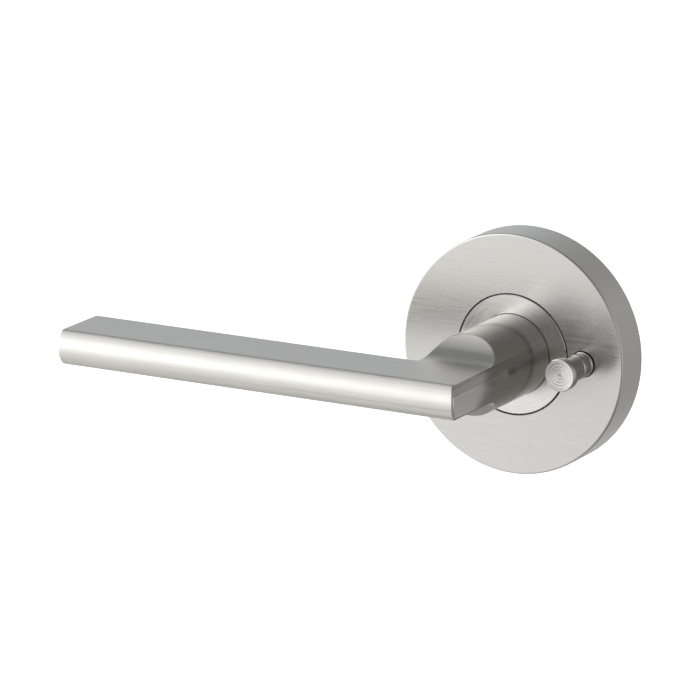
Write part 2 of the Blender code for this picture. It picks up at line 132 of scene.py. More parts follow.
class Tree:
    """A short way to add nodes and links to one node tree."""

    def __init__(self, tree):
        self.tree = tree

    def add(self, kind, **settings):
        node = self.tree.nodes.new(kind)
        for key, value in settings.items():
            setattr(node, key, value)
        return node

    def link(self, source, target):
        self.tree.links.new(source, target)

    def math(self, operation, first, second=None):
        node = self.add("ShaderNodeMath", operation=operation)
        self.feed(node.inputs[0], first)
        if second is not None:
            self.feed(node.inputs[1], second)
        return node.outputs[0]

    def vector(self, operation, first, second=None):
        node = self.add("ShaderNodeVectorMath", operation=operation)
        self.feed(node.inputs[0], first)
        if second is not None:
            self.feed(node.inputs[1], second)
        return node

    def feed(self, socket, value):
        if isinstance(value, bpy.types.NodeSocket):
            self.link(value, socket)
        else:
            socket.default_value = value

    def ramp(self, factor, low, high, start=0.3, end=0.7):
        """A colour or a grey between two values, by a factor."""
        node = self.add("ShaderNodeMapRange")
        self.link(factor, node.inputs["Value"])
        node.inputs["From Min"].default_value = start
        node.inputs["From Max"].default_value = end
        node.inputs["To Min"].default_value = low
        node.inputs["To Max"].default_value = high
        return node.outputs["Result"]

    def mix(self, factor, first, second):
        node = self.add("ShaderNodeMix", data_type="RGBA")
        self.feed(node.inputs["Factor"], factor)
        self.feed(node.inputs["A"], first)
        self.feed(node.inputs["B"], second)
        return node.outputs["Result"]

    def noise(self, vector, scale=1.0, detail=3.0):
        node = self.add("ShaderNodeTexNoise")
        node.inputs["Scale"].default_value = scale
        node.inputs["Detail"].default_value = detail
        self.link(vector, node.inputs["Vector"])
        return node.outputs["Fac"]


print("shader helper ready")

# %% Coordinates that follow the grain


AXES = {"X": (1, 0, 0), "Y": (0, 1, 0), "Z": (0, 0, 1)}


def straight_grain(tree, coords, along, across, axis):
    """Coordinates stretched along one axis, so noise becomes long streaks."""
    mapping = tree.add("ShaderNodeMapping")
    mapping.inputs["Scale"].default_value = [along if on else across for on in AXES[axis]]
    tree.link(coords, mapping.inputs["Vector"])
    return mapping.outputs["Vector"]


def ring_grain(tree, coords, centre, along, across):
    """Coordinates of distance and direction from an axis along Y, so noise becomes rings."""
    offset = tree.vector("SUBTRACT", coords, centre)
    flat = tree.vector("MULTIPLY", offset.outputs["Vector"], (1, 0, 1))
    length = tree.vector("LENGTH", flat.outputs["Vector"]).outputs["Value"]
    around = tree.vector("NORMALIZE", flat.outputs["Vector"])
    spread = tree.vector("MULTIPLY", around.outputs["Vector"], (along, 0, along))
    split = tree.add("ShaderNodeSeparateXYZ")
    tree.link(spread.outputs["Vector"], split.inputs[0])
    depth = tree.add("ShaderNodeSeparateXYZ")
    tree.link(coords, depth.inputs[0])
    reach = tree.math("MULTIPLY", length, across)
    reach = tree.math("ADD", reach, tree.math("MULTIPLY", depth.outputs["Y"], across))
    join = tree.add("ShaderNodeCombineXYZ")
    tree.link(reach, join.inputs["X"])
    tree.link(split.outputs["X"], join.inputs["Y"])
    tree.link(split.outputs["Z"], join.inputs["Z"])
    return join.outputs["Vector"]


def grain_tangent(tree, coords, centre, axis):
    """The direction across the grain, in the world, for the shader's anisotropy."""
    if axis is None:
        offset = tree.vector("SUBTRACT", coords, centre).outputs["Vector"]
        local = tree.vector("CROSS_PRODUCT", offset, (0, 1, 0)).outputs["Vector"]
    else:
        node = tree.add("ShaderNodeCombineXYZ")
        node.inputs[axis].default_value = 1.0
        local = node.outputs["Vector"]
    turn = tree.add("ShaderNodeVectorTransform", vector_type="VECTOR")
    turn.convert_from, turn.convert_to = "OBJECT", "WORLD"
    tree.link(local, turn.inputs[0])
    surface = tree.add("ShaderNodeNewGeometry")
    across = tree.vector("CROSS_PRODUCT", surface.outputs["Normal"], turn.outputs[0])
    return tree.vector("NORMALIZE", across.outputs["Vector"]).outputs["Vector"]


print("grain helpers ready")

# %% The metal recipe


PATCHES = 55.0
WORN_LIGHTER = 1.15
HOLLOW_POLISH = 0.13


def metal(name, colour, roughness, grain=None, centre=(0, 0, 0), streak=0.05, lift=0.0,
          along=80.0, across=2600.0, anisotropy=0.0, tone=0.08, wear="edges", hollow_shade_and_polish=None):
    """A plated or bare metal; grain is X, Y or Z, rings, or None for a cast skin.

    wear polishes the edges, or only a face's rolled rim, or the patches where a hand
    rubs. hollow_shade_and_polish is (low, high, share): as the height from the axis goes
    from low to high, the colour falls to that share, a painted shade in the milled scoop,
    and the milled scoop is that much smoother too.
    """
    material = bpy.data.materials.new(name)
    material.use_nodes = True
    tree = Tree(material.node_tree)
    shader = material.node_tree.nodes["Principled BSDF"]
    shader.inputs["Metallic"].default_value = 1.0
    coords = tree.add("ShaderNodeTexCoord").outputs["Object"]
    if grain in AXES:
        lines = straight_grain(tree, coords, along, across, grain)
    elif grain == "rings":
        lines = ring_grain(tree, coords, centre, along / 20, across)
    else:
        lines = tree.vector("SCALE", coords).outputs["Vector"]
        lines.node.inputs["Scale"].default_value = across / 2
    fine = tree.noise(lines, 1.0, 4.0)
    broad = tree.noise(coords, PATCHES, 2.0)
    pale = tuple(min(1.0, c * (1 + tone)) for c in colour)
    dull = tuple(c * (1 - tone) for c in colour)
    grainy = tree.mix(tree.ramp(fine, 0.0, 1.0), (*dull, 1), (*pale, 1))
    if wear == "rolled":
        facing = tree.add("ShaderNodeSeparateXYZ")
        tree.link(tree.add("ShaderNodeTexCoord").outputs["Normal"], facing.inputs[0])
        edge = tree.ramp(tree.math("ABSOLUTE", facing.outputs["Y"]), 0.4, 0.0, 0.85, 0.98)
    elif wear == "handled":
        edge = tree.ramp(broad, 0.0, 0.3, 0.5, 0.8)
    else:
        corners = tree.add("ShaderNodeNewGeometry").outputs["Pointiness"]
        edge = tree.ramp(corners, 0.0, 0.35, 0.54, 0.64)
    polished = tuple(min(1.0, c * WORN_LIGHTER) for c in colour)
    toned = tree.mix(edge, grainy, (*polished, 1))
    streaky = tree.ramp(fine, roughness - streak, roughness + streak)
    # Painted shade: the colour darkens with the height from the axis, to stand for the shade in the
    # milled scoop; the lower roughness there is its real polish.
    if hollow_shade_and_polish:
        height = tree.add("ShaderNodeSeparateXYZ")
        tree.link(coords, height.inputs[0])
        low, high, share = hollow_shade_and_polish
        depth = tree.ramp(tree.math("ABSOLUTE", height.outputs["Z"]), 0.0, 1.0, low, high)
        toned = tree.mix(depth, toned, (*(c * share for c in colour), 1))
        streaky = tree.math("SUBTRACT", streaky, tree.math("MULTIPLY", depth, HOLLOW_POLISH))
    tree.link(toned, shader.inputs["Base Color"])
    handled = tree.ramp(broad, -streak * 0.6, streak * 0.6)
    tree.link(tree.math("ADD", streaky, handled), shader.inputs["Roughness"])
    if lift:
        bump = tree.add("ShaderNodeBump")
        bump.inputs["Strength"].default_value = 1.0
        bump.inputs["Distance"].default_value = lift
        tree.link(fine, bump.inputs["Height"])
        tree.link(bump.outputs["Normal"], shader.inputs["Normal"])
    if anisotropy:
        shader.inputs["Anisotropic"].default_value = anisotropy
        across_grain = grain_tangent(tree, coords, centre, grain if grain in AXES else None)
        tree.link(across_grain, shader.inputs["Tangent"])
    return material


print("metal recipe ready")

# %% [markdown]
# The visible pieces share a nickel tone. The lever's arm gets a lighter copy, painted light,
# and its neck a darker copy than the arm, painted shade on the same plating; the collar's
# copy is a little lighter too. The rose and the arm are brushed straight along the lever,
# and the neck along itself. The collar and the pin are turned, so their grain runs in rings
# about their own axes. Behind the rose come zinc, passivated steel, dark spring steel and
# bright plated fixings.

# %% Finishes for this handle
NICKEL = (0.515, 0.505, 0.485)
# Painted light on the arm, a lighter nickel, and painted shade on the neck, darker than the arm of
# the same lever.
NICKEL_ARM_LIT = (0.585, 0.575, 0.553)
NICKEL_NECK_SHADED = (0.535, 0.523, 0.50)
NICKEL_TURNED = (0.59, 0.58, 0.56)

satin_rose = metal(
    "satin_nickel_rose", NICKEL, 0.27, "X", streak=0.03, lift=0.7 * MICRON,
    anisotropy=0.55, tone=0.045, wear="rolled",
)
satin_rim = metal(
    "satin_nickel_rim", NICKEL, 0.25, "rings", streak=0.02, lift=0.3 * MICRON,
    anisotropy=0.4, tone=0.03,
)
# The arm's finish is painted darker, as shade, from the scoops above and below its flat outwards.
satin_arm = metal(
    "satin_nickel_arm", NICKEL_ARM_LIT, 0.31, "X", streak=0.03, lift=0.7 * MICRON,
    anisotropy=0.7, tone=0.06, wear="handled", hollow_shade_and_polish=(4.95 * MM, 6.6 * MM, 0.48),
)
satin_neck = metal(
    "satin_nickel_neck", NICKEL_NECK_SHADED, 0.20, "Y", streak=0.03, lift=0.25 * MICRON,
    anisotropy=0.85, tone=0.05, wear="handled",
)
turned_collar = metal(
    "turned_nickel_collar", NICKEL_TURNED, 0.24, "rings", streak=0.04, lift=0.7 * MICRON,
    anisotropy=0.85, across=3400.0,
)
turned_pin = metal(
    "turned_nickel_pin", NICKEL, 0.14, "rings", (PIN_X, 0, 0), streak=0.04,
    lift=1.0 * MICRON, anisotropy=0.6, across=3000.0,
)
cast_zinc = metal(
    "cast_zinc", (0.46, 0.47, 0.48), 0.50, streak=0.07, lift=14 * MICRON, across=2400.0,
)
passivated = metal(
    "passivated_steel", (0.60, 0.55, 0.40), 0.36, streak=0.06, lift=4 * MICRON,
    across=700.0, tone=0.14,
)
bright_steel = metal(
    "bright_steel", (0.56, 0.57, 0.59), 0.28, "X", streak=0.05, lift=0.8 * MICRON,
)
dark_steel = metal(
    "spring_steel", (0.20, 0.205, 0.215), 0.36, streak=0.06, lift=2 * MICRON,
)
brass = metal("turned_brass", (0.72, 0.54, 0.26), 0.27, "rings", (PIN_X, 0, 0), streak=0.04)
print("metals:", len(bpy.data.materials))

# %% [markdown]
# The bush is moulded nylon. It is a little translucent, so it gets a touch of
# subsurface light, and its skin has the faint orange-peel of a moulding.

# %% Moulded nylon


def nylon(name, colour):
    material = bpy.data.materials.new(name)
    material.use_nodes = True
    tree = Tree(material.node_tree)
    shader = material.node_tree.nodes["Principled BSDF"]
    coords = tree.add("ShaderNodeTexCoord").outputs["Object"]
    skin = tree.noise(coords, 900.0, 2.0)
    dull = tuple(c * 0.94 for c in colour)
    tree.link(tree.mix(tree.ramp(skin, 0, 1), (*dull, 1), (*colour, 1)), shader.inputs["Base Color"])
    tree.link(tree.ramp(skin, 0.36, 0.48), shader.inputs["Roughness"])
    shader.inputs["Subsurface Weight"].default_value = 0.15
    shader.inputs["Subsurface Scale"].default_value = 0.002
    bump = tree.add("ShaderNodeBump")
    bump.inputs["Distance"].default_value = 4 * MICRON
    tree.link(skin, bump.inputs["Height"])
    tree.link(bump.outputs["Normal"], shader.inputs["Normal"])
    return material


white_nylon = nylon("white_nylon", (0.86, 0.85, 0.81))
print("nylon ready")

# %% [markdown]
# ## A lathe made of nodes
# Half of this handle comes off a lathe, and so do its screws. A turned shape follows one
# rule: each point of a profile runs round the axis. The tree below takes the profile
# from the object's own points, lays a grid over (profile point, step round the axis)
# and puts each grid point in its place. A screw thread is the same rule with one more
# term: the radius dips once for every pitch along the axis, and the dip is shifted by
# the angle, so that it climbs.

# %% The lathe tree


def new_tree(name, inputs):
    """A geometry tree with named inputs, and its group input and output nodes."""
    group = bpy.data.node_groups.new(name, "GeometryNodeTree")
    group.is_modifier = True
    face = group.interface
    face.new_socket("Geometry", in_out="INPUT", socket_type="NodeSocketGeometry")
    face.new_socket("Geometry", in_out="OUTPUT", socket_type="NodeSocketGeometry")
    for title, kind, value in inputs:
        socket = face.new_socket(title, in_out="INPUT", socket_type="NodeSocket" + kind)
        if value is not None:
            socket.default_value = value
    tree = Tree(group)
    return tree, tree.add("NodeGroupInput").outputs, tree.add("NodeGroupOutput").inputs


def finish_tree(tree, geometry, given, result):
    """Every tree ends the same way: realized, with its finish set."""
    solid = tree.add("GeometryNodeRealizeInstances")
    tree.link(geometry, solid.inputs["Geometry"])
    paint = tree.add("GeometryNodeSetMaterial")
    tree.link(solid.outputs["Geometry"], paint.inputs["Geometry"])
    tree.link(given["Finish"], paint.inputs["Material"])
    tree.link(paint.outputs["Geometry"], result["Geometry"])
    return tree.tree


def lathe_tree():
    tree, given, result = new_tree("lathe", [
        ("Steps", "Int", 96),
        ("Thread Start", "Float", 0.0),
        ("Thread End", "Float", 0.0),
        ("Thread Depth", "Float", 0.0),
        ("Pitch", "Float", 0.001),
        ("Finish", "Material", None),
    ])
    size = tree.add("GeometryNodeAttributeDomainSize", component="MESH")
    tree.link(given["Geometry"], size.inputs["Geometry"])
    columns = tree.math("ADD", given["Steps"], 1.0)
    grid = tree.add("GeometryNodeMeshGrid")
    tree.link(size.outputs["Point Count"], grid.inputs["Vertices X"])
    tree.link(columns, grid.inputs["Vertices Y"])
    index = tree.add("GeometryNodeInputIndex").outputs["Index"]
    row = tree.math("FLOOR", tree.math("DIVIDE", tree.math("ADD", index, 0.5), columns))
    column = tree.math("SUBTRACT", index, tree.math("MULTIPLY", row, columns))
    turn = tree.math("DIVIDE", column, given["Steps"])
    angle = tree.math("MULTIPLY", turn, math.tau)

    pick = tree.add("GeometryNodeSampleIndex", data_type="FLOAT_VECTOR", domain="POINT")
    tree.link(given["Geometry"], pick.inputs["Geometry"])
    tree.link(tree.add("GeometryNodeInputPosition").outputs[0], pick.inputs["Value"])
    tree.link(row, pick.inputs["Index"])
    spot = tree.add("ShaderNodeSeparateXYZ")
    tree.link(pick.outputs["Value"], spot.inputs[0])
    radius, height = spot.outputs["X"], spot.outputs["Z"]

    climb = tree.math("SUBTRACT", tree.math("DIVIDE", height, given["Pitch"]), turn)
    groove = tree.math("MULTIPLY", tree.math("PINGPONG", climb, 0.5), 2.0)
    rise = tree.math("DIVIDE", tree.math("SUBTRACT", height, given["Thread Start"]), given["Pitch"])
    fall = tree.math("DIVIDE", tree.math("SUBTRACT", given["Thread End"], height), given["Pitch"])
    fade = tree.math("MINIMUM", tree.math("MINIMUM", rise, fall), 1.0)
    fade = tree.math("MAXIMUM", fade, 0.0)
    dip = tree.math("MULTIPLY", tree.math("MULTIPLY", groove, fade), given["Thread Depth"])
    radius = tree.math("SUBTRACT", radius, dip)

    place = tree.add("ShaderNodeCombineXYZ")
    tree.link(tree.math("MULTIPLY", radius, tree.math("COSINE", angle)), place.inputs["X"])
    tree.link(tree.math("MULTIPLY", radius, tree.math("SINE", angle)), place.inputs["Y"])
    tree.link(height, place.inputs["Z"])
    move = tree.add("GeometryNodeSetPosition")
    tree.link(grid.outputs["Mesh"], move.inputs["Geometry"])
    tree.link(place.outputs[0], move.inputs["Position"])
    close = tree.add("GeometryNodeMergeByDistance")
    close.inputs["Distance"].default_value = WELD
    tree.link(move.outputs["Geometry"], close.inputs["Geometry"])
    return finish_tree(tree, close.outputs["Geometry"], given, result)


LATHE = lathe_tree()
print("lathe tree:", len(LATHE.nodes), "nodes")

# %% Running a tree
# The lathe's Z axis becomes minus Y, the way from the door into the room.
TO_ROOM = Matrix.Rotation(math.radians(90), 4, "X")


def run_tree(name, tree, points, edges, values):
    """Feeds points to a tree, sets its inputs by identifier and keeps the plain result."""
    mesh = bpy.data.meshes.new(name + "_path")
    mesh.from_pydata(points, edges, [])
    source = bpy.data.objects.new(name + "_path", mesh)
    bpy.context.scene.collection.objects.link(source)
    step = source.modifiers.new("shape", "NODES")
    step.node_group = tree
    for socket in tree.interface.items_tree:
        if socket.item_type == "SOCKET" and socket.name in values:
            step[socket.identifier] = values[socket.name]
    source.update_tag()
    graph = bpy.context.evaluated_depsgraph_get()
    made = bpy.data.meshes.new_from_object(source.evaluated_get(graph), depsgraph=graph)
    bpy.data.objects.remove(source, do_unlink=True)
    made.name = name
    return made


def outward(mesh):
    """Merges doubles and turns every face of a closed mesh outwards."""
    form = bmesh.new()
    form.from_mesh(mesh)
    bmesh.ops.remove_doubles(form, verts=form.verts, dist=WELD)
    bmesh.ops.recalc_face_normals(form, faces=form.faces)
    if form.calc_volume(signed=True) < 0:
        bmesh.ops.reverse_faces(form, faces=form.faces)
    form.to_mesh(mesh)
    form.free()
    return mesh


def turned(name, profile, finish, steps=128, closed=False, at=(0, 0), thread=None):
    """A turned mesh in the handle's frame from (radius, depth) points."""
    points = [(r, 0, z) for r, z in profile]
    if closed:
        points.append(points[0])
    values = {"Steps": steps, "Finish": finish}
    if thread:
        values.update(thread)
    mesh = run_tree(name, LATHE, points, [], values)
    mesh.transform(Matrix.Translation((at[0], 0, at[1])) @ TO_ROOM)
    return outward(mesh)


def add_mesh(name, mesh):
    thing = bpy.data.objects.new(name, mesh)
    bpy.context.scene.collection.objects.link(thing)
    return thing


def settle(name, work, tools=()):
    """Keeps what an object's modifiers make, as a plain mesh, and clears the workshop."""
    graph = bpy.context.evaluated_depsgraph_get()
    made = bpy.data.meshes.new_from_object(work.evaluated_get(graph), depsgraph=graph)
    made.name = name
    for thing in [work, *tools]:
        bpy.data.objects.remove(thing, do_unlink=True)
    return made


def flat_flats(name, mesh, crease):
    """Smooth rounds, sharp corners, and normals weighted so that flats stay flat."""
    mesh.shade_smooth()
    mesh.set_sharp_from_angle(angle=math.radians(crease))
    work = add_mesh(name + "_work", mesh)
    weight = work.modifiers.new("weight", "WEIGHTED_NORMAL")
    weight.keep_sharp = True
    weight.weight = 90
    return settle(name, work)


def piece(name, mesh, finish, body, slot, *nodes, crease=32):
    """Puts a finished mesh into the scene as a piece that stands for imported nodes."""
    if crease:
        mesh = flat_flats(name, mesh, crease)
    mesh.materials.clear()
    mesh.materials.append(finish)
    thing = add_mesh(name, mesh)
    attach(thing, body)
    if nodes:
        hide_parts(*nodes)
    print(f"{name}: {len(mesh.polygons)} faces")
    return thing


def second_finish(thing, finish, chosen):
    """Gives the faces that a rule chooses another finish."""
    thing.data.materials.append(finish)
    faces = [face for face in thing.data.polygons if chosen(face)]
    for face in faces:
        face.material_index = 1
    print(f"{thing.name}: {len(faces)} faces in {finish.name}")


def bow(centre, radius, start, end, count):
    """Points on an arc, in degrees, ends included."""
    step = math.radians(end - start) / (count - 1)
    first = math.radians(start)
    angles = [first + step * i for i in range(count)]
    return [
        (centre[0] + radius * math.cos(angle), centre[1] + radius * math.sin(angle))
        for angle in angles
    ]


print("lathe ready")

# %% [markdown]
# ## Cutting and rounding
# The lever is milled, so it is built as the maker would: stock, then cuts. Booleans on a
# fine mesh give the shape, and a small bevel on every sharp edge gives the broken edges
# that catch the light on real metal. Weighted normals keep the flats flat.

# %% Cutting helpers


def box_mesh(name, low, high):
    mesh = bpy.data.meshes.new(name)
    form = bmesh.new()
    size = Vector(high) - Vector(low)
    centre = (Vector(high) + Vector(low)) / 2
    place = Matrix.Translation(centre) @ Matrix.Diagonal((*size, 1))
    bmesh.ops.create_cube(form, size=1.0, matrix=place)
    form.to_mesh(mesh)
    form.free()
    return mesh


def rod_mesh(name, start, end, radius, sides=64):
    """A plain cylinder between two points."""
    mesh = bpy.data.meshes.new(name)
    form = bmesh.new()
    run = Vector(end) - Vector(start)
    turn = run.to_track_quat("Z", "Y").to_matrix().to_4x4()
    place = Matrix.Translation((Vector(start) + Vector(end)) / 2) @ turn
    bmesh.ops.create_cone(
        form, cap_ends=True, segments=sides, radius1=radius, radius2=radius,
        depth=run.length, matrix=place,
    )
    form.to_mesh(mesh)
    form.free()
    return mesh


def prism_mesh(name, outline, low_x, high_x):
    """An outline of (depth, height) points, made a prism along X."""
    mesh = bpy.data.meshes.new(name)
    form = bmesh.new()
    ring = [form.verts.new((low_x, -depth, height)) for depth, height in outline]
    face = form.faces.new(ring)
    grown = bmesh.ops.extrude_face_region(form, geom=[face])
    moved = [v for v in grown["geom"] if isinstance(v, bmesh.types.BMVert)]
    bmesh.ops.translate(form, verts=moved, vec=(high_x - low_x, 0, 0))
    bmesh.ops.recalc_face_normals(form, faces=form.faces)
    form.to_mesh(mesh)
    form.free()
    return mesh


def carve(name, mesh, steps):
    """Runs (operation, mesh) booleans in order and returns the result as a plain mesh."""
    work = add_mesh(name + "_stock", mesh)
    tools = []
    for index, (operation, tool) in enumerate(steps):
        thing = add_mesh(f"{name}_tool_{index}", tool)
        tools.append(thing)
        boolean = work.modifiers.new(thing.name, "BOOLEAN")
        boolean.operation = operation
        boolean.solver = "EXACT"
        boolean.object = thing
    return settle(name, work, tools)


def broken_edges(name, mesh, width, segments=3, angle=30, shares=None):
    """Bevels the sharp edges and weights the normals; shares scales the width by edge."""
    form = bmesh.new()
    form.from_mesh(mesh)
    weights = form.edges.layers.float.new("bevel_weight_edge")
    for edge in form.edges:
        if len(edge.link_faces) == 2 and edge.calc_face_angle() > math.radians(angle):
            edge[weights] = shares(edge) if shares else 1.0
    form.to_mesh(mesh)
    form.free()
    mesh.shade_smooth()
    work = add_mesh(name + "_work", mesh)
    bevel = work.modifiers.new("bevel", "BEVEL")
    bevel.width = width
    bevel.segments = segments
    bevel.limit_method = "WEIGHT"
    bevel.use_clamp_overlap = False
    bevel.miter_outer = "MITER_ARC"
    weight = work.modifiers.new("weight", "WEIGHTED_NORMAL")
    weight.weight = 80
    return settle(name, work)


print("cutting helpers ready")

# %% [markdown]
# ## The lever
# One solid piece: a 22 mm round neck and a flat arm with a crowned front. Where the
# neck passes into the arm, a round cutter has taken a scoop from above and one from
# below. Seen along the arm the outline is a rule: full neck, quarter-round scoop,
# straight flat, crown. The neck and the arm's stock are joined and that outline is
# kept, which gives the true curved edges where cylinder and scoop meet.

# %% Lever outline and stock
ARM_HALF = 4.75 * MM
ARM_FRONT = 61.5 * MM
ARM_BACK = 44.5 * MM
CROWN = LEVER_FRONT - ARM_FRONT
SCOOP_R = 8.0 * MM
SCOOP_START = 42.6 * MM
HUB_R = 8.0 * MM
HUB_FLAT = 7.0 * MM
GROOVE = (-12.1 * MM, -10.5 * MM)
GROOVE_R = 7.2 * MM
SPARE = 2 * MM
LEVER_STEPS = 150


def lever_outline():
    """(depth, height) of the lever seen along X, as one closed line."""
    top = NECK_R + SPARE
    centre = (SCOOP_START, ARM_HALF + SCOOP_R)
    wall = 180 - math.degrees(math.asin((top - centre[1]) / SCOOP_R))
    scoop = bow(centre, SCOOP_R, wall, 270, 40)
    crown_r = (ARM_HALF ** 2 + CROWN ** 2) / (2 * CROWN)
    reach = math.degrees(math.asin(ARM_HALF / crown_r))
    crown = bow((LEVER_FRONT - crown_r, 0), crown_r, reach, -reach, 40)
    under = [(depth, -height) for depth, height in reversed(scoop)]
    back = HUB_END - 1 * MM
    return [(back, top)] + scoop + crown + under + [(back, -top)]


def lever_stock():
    front = LEVER_FRONT + SPARE
    profile = [
        (0, front),
        (NECK_R, front),
        (NECK_R, COLLAR_BACK),
        (HUB_R, COLLAR_BACK),
        (HUB_R, GROOVE[1]),
        (GROOVE_R, GROOVE[1]),
        (GROOVE_R, GROOVE[0]),
        (HUB_R, GROOVE[0]),
        (HUB_R, HUB_END),
        (0, HUB_END),
    ]
    return turned("lever_stock", profile, satin_arm, steps=LEVER_STEPS)


PLAY = 0.3 * MM
SCREW_BORE_R = 2.75 * MM
SOCKET_HALF = half_width("spindle") + PLAY
SPINDLE_TOP = depths("spindle")[1] + PLAY
SCREW_DEPTH = -middle("lever_grub_screw").y
high = NECK_R + 3 * MM
front = LEVER_FRONT + SPARE
arm_stock = box_mesh("arm_stock", (TIP_X, -front, -high), (0, -ARM_BACK, high))
outline = prism_mesh("lever_outline", lever_outline(), TIP_X - 5 * MM, NECK_R + 5 * MM)
socket = box_mesh(
    "socket",
    (-SOCKET_HALF, -SPINDLE_TOP, -SOCKET_HALF),
    (SOCKET_HALF, -HUB_END + SPARE, SOCKET_HALF),
)
screw_bore = rod_mesh(
    "screw_bore",
    (0, -SCREW_DEPTH, -NECK_R - SPARE),
    (0, -SCREW_DEPTH, -SOCKET_HALF + 1 * MM),
    SCREW_BORE_R,
)
flats = [
    box_mesh(f"hub_flat_{side}", (-12 * MM, 0.7 * MM, low), (12 * MM, 20 * MM, low + 4 * MM))
    for side, low in (("top", HUB_FLAT), ("foot", -HUB_FLAT - 4 * MM))
]
lever_mesh = carve("lever", lever_stock(), [
    ("UNION", arm_stock),
    ("INTERSECT", outline),
    ("DIFFERENCE", socket),
    ("DIFFERENCE", screw_bore),
    ("DIFFERENCE", flats[0]),
    ("DIFFERENCE", flats[1]),
])


def lever_share(edge):
    """Full width where the crown runs out on the neck's round side, half round the tip."""
    spots = [v.co for v in edge.verts]
    on_side = all(math.hypot(p.x, p.z) > NECK_R - 0.05 * MM for p in spots)
    if on_side and all(-p.y > ARM_FRONT - 0.2 * MM for p in spots):
        return 1.0
    if all(p.x < TIP_X + 0.01 * MM for p in spots):
        return 0.5
    return 0.3


def off_arm(face):
    """The neck's round side and the tip's end, which are finished along the neck."""
    spot = face.center
    radius = math.hypot(spot.x, spot.z)
    if spot.x < TIP_X + 0.1 * MM:
        return True
    outward_part = (face.normal.x * spot.x + face.normal.z * spot.z) / max(radius, MICRON)
    return NECK_R - 0.5 * MM < radius < NECK_R + 0.1 * MM and outward_part > 0.75


LEVER_EDGE = 0.6 * MM
lever_mesh = broken_edges("lever", lever_mesh, LEVER_EDGE, shares=lever_share)
lever = piece("lever", lever_mesh, satin_arm, "lever", "satin_nickel", "lever_handle", crease=0)
second_finish(lever, satin_neck, off_arm)

# %% [markdown]
# ## The collar
# A turned disc pressed on the neck. It fills the rose's opening but for the running gap
# that shows as a dark ring, and its face is flush with the rose. The bore closes on the
# neck, and the rim has a hair of a chamfer.

# %% Collar
ROUND_STEPS = 192
CHAMFER = 0.15 * MM
BORE_R = NECK_R + 0.12 * MM
collar_profile = [
    (BORE_R, ROSE_DEPTH),
    (COLLAR_R - CHAMFER, ROSE_DEPTH),
    (COLLAR_R, ROSE_DEPTH - CHAMFER),
    (COLLAR_R, COLLAR_BACK),
    (BORE_R, COLLAR_BACK),
]
collar_mesh = turned("collar", collar_profile, turned_collar, steps=ROUND_STEPS, closed=True)
piece("collar", collar_mesh, turned_collar, "lever", "turned_nickel", "neck_collar")

# %% [markdown]
# ## The rose cover
# A pressed round cover. Its outer edge is rolled to a small radius, and the edges of the
# opening are barely broken, so the ring gap stays crisp. Two holes are cut: one for the
# pin in the face, and one for the locking screw in the rim's underside.

# %% Rose cover
WALL = 1.2 * MM
OPENING_R = COLLAR_R + 0.34 * MM
ROLL = 0.45 * MM
PIN_HOLE_R = 3.6 * MM
LIP = 0.12 * MM
SUPPORT = 0.15 * MM
BACK_ROLL = 0.2 * MM
RIM_HOLE_R = 1.5 * MM

rose_profile = [
    (OPENING_R, ROSE_DEPTH - LIP),
    (OPENING_R + LIP, ROSE_DEPTH),
    (OPENING_R + LIP + SUPPORT, ROSE_DEPTH),
    (ROSE_R - ROLL - SUPPORT, ROSE_DEPTH),
]
rose_profile += bow((ROSE_R - ROLL, ROSE_DEPTH - ROLL), ROLL, 90, 0, 8)
rose_profile += [(ROSE_R, ROSE_DEPTH - ROLL - SUPPORT), (ROSE_R, BACK_ROLL + SUPPORT)]
rose_profile += bow((ROSE_R - BACK_ROLL, BACK_ROLL), BACK_ROLL, 0, -90, 4)
rose_profile += [
    (ROSE_R - WALL, 0),
    (ROSE_R - WALL, ROSE_DEPTH - WALL - ROLL),
    (ROSE_R - WALL - ROLL, ROSE_DEPTH - WALL),
    (OPENING_R, ROSE_DEPTH - WALL),
]
screw_at = middle("cover_grub_screw")
pin_hole = rod_mesh("pin_hole", (PIN_X, -8 * MM, 0), (PIN_X, -14 * MM, 0), PIN_HOLE_R, 96)
rim_hole = rod_mesh(
    "rim_hole",
    (0, screw_at.y, -ROSE_R - SPARE),
    (0, screw_at.y, -ROSE_R + 2.5 * MM),
    RIM_HOLE_R,
    48,
)
rose_mesh = turned("rose", rose_profile, satin_rose, steps=ROUND_STEPS, closed=True)
rose_mesh = carve("rose", rose_mesh, [("DIFFERENCE", pin_hole), ("DIFFERENCE", rim_hole)])
rose = piece("rose", rose_mesh, satin_rose, "rose", "satin_nickel", "rose_cover", crease=35)
second_finish(rose, satin_rim, lambda face: abs(face.normal.y) < 0.7)

# %% [markdown]
# ## The privacy pin
# A turned pin, pulled out in the resting pose. From the room: a head with the cutting
# tool's rings across its face, a finger groove, a band, a marking ring, a second band
# and the detent groove, then the plain shank. The rings are part of the profile, so they
# are real ridges.

# %% Pin profile
HEAD_T = 2.5 * MM
GRIP = 2.0 * MM
SHANK_R = 3.35 * MM
HEAD_EDGE = 0.35 * MM
BACK_EDGE = 0.3 * MM
RING_AT = 16.0 * MM
RING_PITCH = 0.85 * MM
RING_LIFT = 0.017 * MM
DISH = 0.2 * MM
SHOULDER = 0.04 * MM
LINK_BORE_R = 1.8 * MM
LINK_BORE_TOP = 6 * MM
DETENT_AT = -middle("detent_ball").y
TRAVEL = next(j for j in frame["joints"] if j["name"] == "pin_slide")["range_m"][1]


def tool_marks(radius, depth, pitch, lift, dish):
    """A faced, slightly dished surface: a centre dimple, then rings of the tool's pitch."""
    start = 0.42 * MM
    floor = depth - dish
    dimple = [(0, floor - 0.16 * MM), (0.2 * MM, floor - 0.12 * MM), (start, floor)]
    count = int((radius - start) / (pitch / 6))
    rings = []
    for i in range(1, count + 1):
        r = start + (radius - start) * i / count
        mark = lift * (0.5 - 0.5 * math.cos(math.tau * (r - start) / pitch))
        rings.append((r, depth - dish * (1 - (r / radius) ** 2) - mark))
    return dimple + rings


